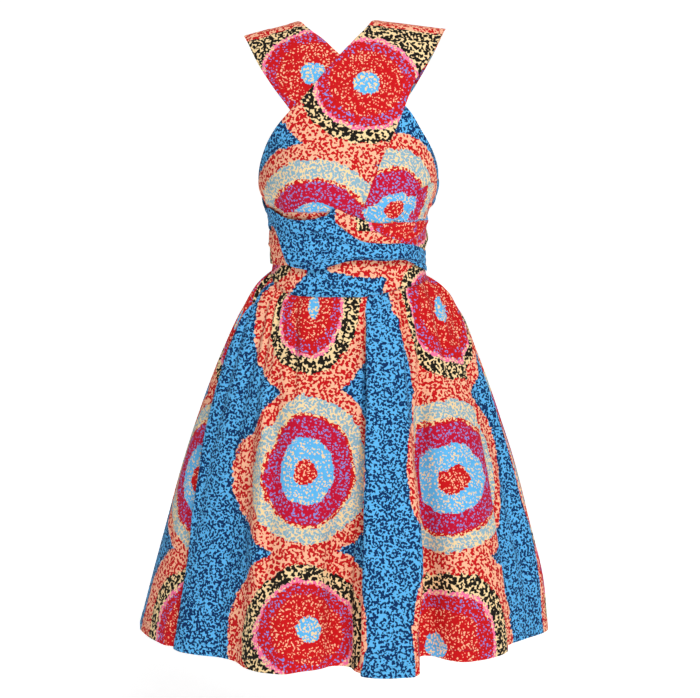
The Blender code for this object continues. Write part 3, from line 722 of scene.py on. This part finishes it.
def strap_creased(creases, along, over):
    """Depth of a strap's creases, which never go below the cloth's own bed."""
    total = 0
    for depth, bend, line in creases:
        line = np.array(line) * (0.01, MM)
        middle = np.interp(along, line[:, 1], line[:, 0]) * over[:, -1:]
        fade = (np.clip((along - line[0, 1] + STRAP_CREASE_ENDS) / STRAP_CREASE_ENDS, 0, 1)
                * np.clip((line[-1, 1] + STRAP_CREASE_ENDS - along) / STRAP_CREASE_ENDS, 0, 1))
        apart = (over - middle) / (bend * MM)
        total = total + depth * MM * fade * np.exp(-apart ** 2)
    return total


def strap(side, front, back, wrap, folds, seed, print_of):
    """The three stretches of one strap, shaped as one band and parted at their ends."""
    parts = [band_rows(table, STRAP_STEP) for table in (front, back, wrap)]
    grids = [band_points(rows, STRAP_SPANS, folds) for rows in parts]
    points, off = (np.concatenate([grids[0][k], grids[1][k][1:], grids[2][k][1:]])
                   for k in (0, 1))
    normal = normals_of(points)
    cut_a = len(parts[0]) - 1
    cut_b = cut_a + len(parts[1]) - 1
    along = unit(np.gradient(points, axis=0))
    run = lengths(points, 0)
    middle_run = run[:, STRAP_SPANS // 2]
    over = lengths(points, 1)
    puckers = PUCKER_DEPTH * ripples(over, run * PUCKER_LEAN, seed, PUCKER_WAVES)
    puckers[:cut_b] *= np.exp(-run[:cut_b] / PUCKER_REACH)
    puckers[cut_b:] *= PUCKER_ON_WRAPS
    off = off + np.abs(puckers)
    rings = print_of(points)
    stretches = (("front", 0, cut_a), ("back", cut_a, cut_b), ("wrap", cut_b, len(points) - 1))
    for label, first, last in stretches:
        rows = slice(first, last + 1)
        start = run[rows] - run[first]
        depth = strap_creased(STRAP_CREASES[f"{side}_{label}"], start, over[rows])
        if (side, label) == ("over", "wrap"):     # its creases calm down at the sides
            beside = (abs(points[rows][..., 0]) - CALM_FROM) / CALM_OVER
            depth = depth * np.clip(1 - beside, CALM_LEFT, 1)
        off[rows] += depth
    if side == "under":
        above = points[:cut_a, :, 2] - on_line(points[:cut_a, :, 0], TURNED_UNDER)
        front_of = points[:cut_a, :, 1] < 0
        off[:cut_a] += TURNED_RISE * front_of / (1 + np.exp(np.clip(above / TURNED_BEND, -30, 30)))
    edge = np.minimum(over, over[:, -1:] - over)
    off = off + turned(edge, EDGE_TURN)
    for label, first, last in stretches:
        rows = slice(first, last + 1)
        base = points[rows].copy()
        if first > 0:
            base[0] += along[first] * SEAM_GAP / 2
        if last < len(points) - 1:
            base[-1] -= along[last] * SEAM_GAP / 2
        grid = base + normal[rows] * (off[rows] + STRAP_WALL)[..., None]
        width = over[rows]
        true_run = middle_run[rows][:, None] - middle_run[first] + 0 * width
        piece = cloth(f"cloth_strap_{side}_{label}", grid, width, true_run,
                      [part[rows] for part in rings[label]],
                      (true_run, edge[rows] - EDGE_STITCH), STRAP_WALL)


def waistband():
    """The ring between the straps and the skirt, closed at the centre of its -X side."""
    angle = np.linspace(-180, 180, BAND_COLUMNS)[None, :]
    low = seam_height(angle) + WAIST_GAP / 2
    share = np.linspace(0, 1, BAND_ROWS)[:, None]
    z = low + (BAND_TOP - low) * share
    grid = figure(angle + 0 * z, z, BAND_INSET + BAND_WALL)
    across = lengths(grid, 1)
    down = z - low
    edge = np.minimum(down, down.max(axis=0)[None, :] - down)
    piece = cloth("cloth_waistband", grid, across, down, rings_near(grid, BAND_ROUNDELS),
                  (across, edge - BAND_STITCH), BAND_WALL)
    edit_all(bpy.ops.mesh.remove_doubles, threshold=SAME_PLACE)


# ---- the print's material
INK = {
    "blue": (0.11, 0.46, 0.84, 1), "navy": (0.003, 0.027, 0.11, 1),
    "peach": (0.95, 0.5, 0.32, 1), "red": (0.58, 0.006, 0.009, 1),
    "crimson": (0.53, 0.004, 0.031, 1), "pink": (0.9, 0.17, 0.36, 1),
    "cream": (0.92, 0.68, 0.36, 1), "violet": (0.22, 0.25, 0.66, 1),
    "black": (0.01, 0.008, 0.006, 1), "haze": (0.25, 0.44, 0.56, 1),
}
# Rings of the two roundels, from the middle: outer radius (m), ground, spots, share of
# the ground that the spots cover.
ROUNDEL_A = [
    (0.019, "blue", "cream", 0.30), (0.056, "red", "peach", 0.12),
    (0.074, "red", "violet", 0.16), (0.080, "pink", "cream", 0.30),
    (0.103, "cream", "black", 0.60), (0.140, "peach", "red", 0.50),
]
ROUNDEL_B = [
    (0.021, "red", "peach", 0.16), (0.053, "blue", "cream", 0.21),
    (0.084, "crimson", "violet", 0.20), (0.090, "cream", "red", 0.62),
    (0.115, "cream", "haze", 0.54), (0.140, "peach", "red", 0.50),
]
BETWEEN = ("blue", "navy", 0.50)
EDGE_LINE = 0.0035     # half width of the broken dark line round the columns
LINE_BREAKS = 0.45     # grain above which that line shows
# Every outline is bent by a noise and broken into by the spots (m).
WOBBLE_SCALE, WOBBLE, BREAK_IN = 55, 0.010, 0.007
# Drops of wax: the noise that bends them, how much their roundness and the finer grain
# count, how sharp they are, how their share sets the level, and their scales by spot.
BEND_SCALE, BEND = 130, 0.003
ROUND_PART, ROUND_LEVEL, GRAIN_PART, GRAIN_SCALE = -0.55, 0.5025, 0.6, 1.6
SHARPNESS, SHARE_TO_LEVEL = 60.0, 0.36
DROPS = {"black": 172, "red": 185, "other": 235, "ground": 225}
# Unevenness of the dye: scale, strength and least brightness.
DYE_SCALE, DYE, DYE_FROM = 9, 0.16, 0.93
# Stitches: length, share that shows, width of the thread, its tone and its dent.
STITCH, DASH, THREAD, THREAD_TONE, THREAD_DENT = 3.2 * MM, 0.72, 0.7 * MM, 0.55, 0.10


class Nodes:
    """Short ways to make a material and to add shader nodes to it."""

    def __init__(self, name):
        self.material = bpy.data.materials.new(name)
        self.material.use_nodes = True
        self.tree = self.material.node_tree

    def feed(self, node, inputs):
        """Give each input a number, a colour or the output of another node."""
        for key, value in inputs.items():
            if isinstance(value, (int, float, tuple)):
                node.inputs[key].default_value = value
            else:
                self.tree.links.new(value, node.inputs[key])
        return node

    def add(self, kind, inputs, **settings):
        node = self.tree.nodes.new(kind)
        for key, value in settings.items():
            setattr(node, key, value)
        return self.feed(node, inputs)

    def surface(self, inputs):
        """Inputs of the material's own shader."""
        self.feed(self.tree.nodes["Principled BSDF"], inputs)

    def math(self, operation, *values):
        return self.add("ShaderNodeMath", dict(enumerate(values)), operation=operation).outputs[0]

    def mix(self, factor, a, b):
        """a where factor is 0, b where it is 1."""
        return self.add("ShaderNodeMix", {0: factor, 6: a, 7: b}, data_type="RGBA").outputs[2]

    def noise(self, place, scale, detail, output="Fac"):
        inputs = {"Vector": place, "Scale": scale, "Detail": detail}
        return self.add("ShaderNodeTexNoise", inputs).outputs[output]

    def layer(self, name):
        return self.add("ShaderNodeUVMap", {}, uv_map=name).outputs[0]

    def pair(self, name):
        """The two numbers that a layer holds."""
        return self.add("ShaderNodeSeparateXYZ", {0: self.layer(name)}).outputs[:2]


def printed_cotton():
    """Wax print cotton: columns of roundels on a speckled ground, with a fine weave."""
    n = Nodes("wax_print_cotton")
    place = n.add("ShaderNodeTexCoord", {}).outputs["Object"]
    to_a, to_b = n.pair("Rings")
    bend = n.noise(place, BEND_SCALE, detail=2.0, output="Color")
    bent = n.add("ShaderNodeMixRGB", {0: BEND, 1: place, 2: bend}, blend_type="ADD").outputs[0]

    def speckle(scale):
        """Drops of wax: dots of uneven size that run together here and there."""
        dots = n.add("ShaderNodeTexVoronoi", {"Scale": scale, "Vector": bent})
        grain = n.noise(bent, GRAIN_SCALE * scale, detail=0.0)
        drops = n.math("MULTIPLY_ADD", dots.outputs["Distance"], ROUND_PART, ROUND_LEVEL)
        return n.math("MULTIPLY_ADD", grain, GRAIN_PART, drops)

    grains = {kind: speckle(scale) for kind, scale in DROPS.items()}
    wobble = n.math("SUBTRACT", n.noise(place, WOBBLE_SCALE, detail=1.0), 0.5)
    rough = n.math("MULTIPLY", n.math("SUBTRACT", grains["red"], 0.5), BREAK_IN)
    uneven = n.math("ADD", n.math("MULTIPLY", wobble, WOBBLE), rough)
    far_a, far_b = (n.math("ADD", to, uneven) for to in (to_a, to_b))

    def spotted(ground, spots, share, grain):
        """Ground colour with spots where the grain is above its own level."""
        level = 0.5 + (0.5 - share) * SHARE_TO_LEVEL
        cover = n.math("MULTIPLY", n.math("SUBTRACT", grain, level), SHARPNESS)
        cover = n.math("MINIMUM", n.math("MAXIMUM", cover, 0.0), 1.0)
        return n.mix(cover, INK[ground], INK[spots])

    def rings(table, far):
        """Colours of a roundel's rings on the speckled ground."""
        colour = spotted(*BETWEEN, grains["ground"])
        for radius, ground, spots, share in reversed(table):
            grain = grains.get(spots, grains["other"])
            inside = n.math("LESS_THAN", far, radius)
            colour = n.mix(inside, colour, spotted(ground, spots, share, grain))
        return colour

    nearer_b = n.math("LESS_THAN", to_b, to_a)
    colour = n.mix(nearer_b, rings(ROUNDEL_A, far_a), rings(ROUNDEL_B, far_b))
    # broken dark line on the blue side of each column's edge
    from_edge = n.math("SUBTRACT", n.math("MINIMUM", far_a, far_b), ROUNDEL_B[-1][0] + EDGE_LINE)
    line = n.math("MULTIPLY", n.math("LESS_THAN", n.math("ABSOLUTE", from_edge), EDGE_LINE),
                  n.math("GREATER_THAN", grains["ground"], LINE_BREAKS))
    colour = n.mix(line, colour, INK["navy"])
    dye = n.math("MULTIPLY", n.noise(place, DYE_SCALE, detail=3.0), DYE)
    tone = n.math("ADD", dye, DYE_FROM)
    dyed = n.add("ShaderNodeHueSaturation", {"Value": tone, "Color": colour}).outputs[0]
    # stitches along the hem and the edges, in a thread a little darker than the cloth
    along, beside = n.pair("Sewing")
    dash = n.math("LESS_THAN", n.math("FRACT", n.math("MULTIPLY", along, 1 / STITCH)), DASH)
    near = n.math("LESS_THAN", n.math("ABSOLUTE", beside), THREAD / 2)
    thread = n.math("MULTIPLY", n.math("MULTIPLY", dash, near), THREAD_TONE)
    # weave: warp and weft threads about 0.45 mm apart, under a slightly uneven hand
    threads = n.layer("Cloth")
    warp, weft = (n.add("ShaderNodeTexWave", {"Scale": 700, "Distortion": 0.4, "Vector": threads},
                        wave_type="BANDS", bands_direction=way).outputs["Fac"] for way in "XY")
    fine = n.add("ShaderNodeBump", {"Strength": 0.25, "Distance": 0.0002,
                                    "Height": n.math("ADD", warp, weft)})
    height = n.math("SUBTRACT", n.noise(place, scale=22, detail=4.0),
                    n.math("MULTIPLY", near, THREAD_DENT))
    soft = n.add("ShaderNodeBump", {"Strength": 0.35, "Distance": 0.004, "Height": height,
                                    "Normal": fine.outputs[0]})
    n.surface({"Base Color": n.mix(thread, dyed, INK["navy"]), "Normal": soft.outputs[0],
               "Roughness": 0.85, "Specular IOR Level": 0.12, "Sheen Weight": 0.02})
    return n.material


# ---- light and camera
# Floor: its size, how far it lies below the hem and starts in front of the dress, where
# it sweeps up behind and the radius of that bend (m).
FLOOR, BELOW_HEM, IN_FRONT, BEND_FROM, BEND_RADIUS = 16, 0.45, 4.5, 8.0, 3.0
# Lights: name, place, size (m) and power (W); all point at one place.
LIGHTS = [("key", (1.1, -2.9, 2.0), 1.1, 112), ("fill", (-2.4, -2.6, 0.2), 2.6, 10),
          ("top", (0.2, 0.4, 3.0), 2.5, 16)]
LIT_PLACE, WORLD_LIGHT = (0, 0, -0.5), 0.15
CAMERA_PLACE, CAMERA_TILT, SENSOR, LENS = (0.0025, -2.63, -0.243), 83.65, 36.0, 81.67


def studio():
    """Pale floor that sweeps up behind the dress, soft light and the camera."""
    floor, flat = new_grid("studio_floor", 2, 60)
    across, reach = (flat * FLOOR).T
    bend = np.clip((reach - BEND_FROM) / BEND_RADIUS, 0, np.pi / 2)
    y = np.minimum(reach, BEND_FROM) + BEND_RADIUS * np.sin(bend) - IN_FRONT
    z = (HEM_LEVEL - BELOW_HEM + BEND_RADIUS * (1 - np.cos(bend))
         + np.maximum(0, reach - BEND_FROM - BEND_RADIUS * np.pi / 2))
    floor.data.vertices.foreach_set("co", np.stack([across - FLOOR / 2, y, z], axis=1).ravel())
    bpy.ops.object.shade_smooth()
    white = Nodes("studio_white")
    white.surface({"Base Color": (0.95, 0.95, 0.95, 1), "Roughness": 0.9,
                   "Specular IOR Level": 0.1, "Emission Color": (1, 1, 1, 1),
                   "Emission Strength": 0.62})
    floor.data.materials.append(white.material)
    scene = bpy.context.scene
    for name, spot, size, power in LIGHTS:
        data = bpy.data.lights.new(name, "AREA")
        data.size, data.energy = size, power
        lamp = bpy.data.objects.new(name, data)
        scene.collection.objects.link(lamp)
        lamp.location = spot
        aim = Vector(LIT_PLACE) - lamp.location
        lamp.rotation_euler = aim.to_track_quat("-Z", "Y").to_euler()
    world = bpy.data.worlds.new("studio_world")
    world.use_nodes = True
    sky = world.node_tree.nodes["Background"]
    sky.inputs[0].default_value, sky.inputs[1].default_value = (1, 1, 1, 1), WORLD_LIGHT
    scene.world = world
    view = bpy.data.cameras.new("camera")
    view.sensor_width, view.lens = SENSOR, LENS
    camera = bpy.data.objects.new("camera", view)
    scene.collection.objects.link(camera)
    camera.location = CAMERA_PLACE
    camera.rotation_euler = (np.radians(CAMERA_TILT), 0, 0)
    scene.camera = camera
    scene.view_settings.view_transform = "Standard"


COTTON = printed_cotton()
skirt()
waistband()
strap("under", UNDER_FRONT, UNDER_BACK, UNDER_WRAP, folds=2, seed=5, print_of=under_print)
strap("over", OVER_FRONT, OVER_BACK, OVER_WRAP, folds=3, seed=8, print_of=over_print)
studio()
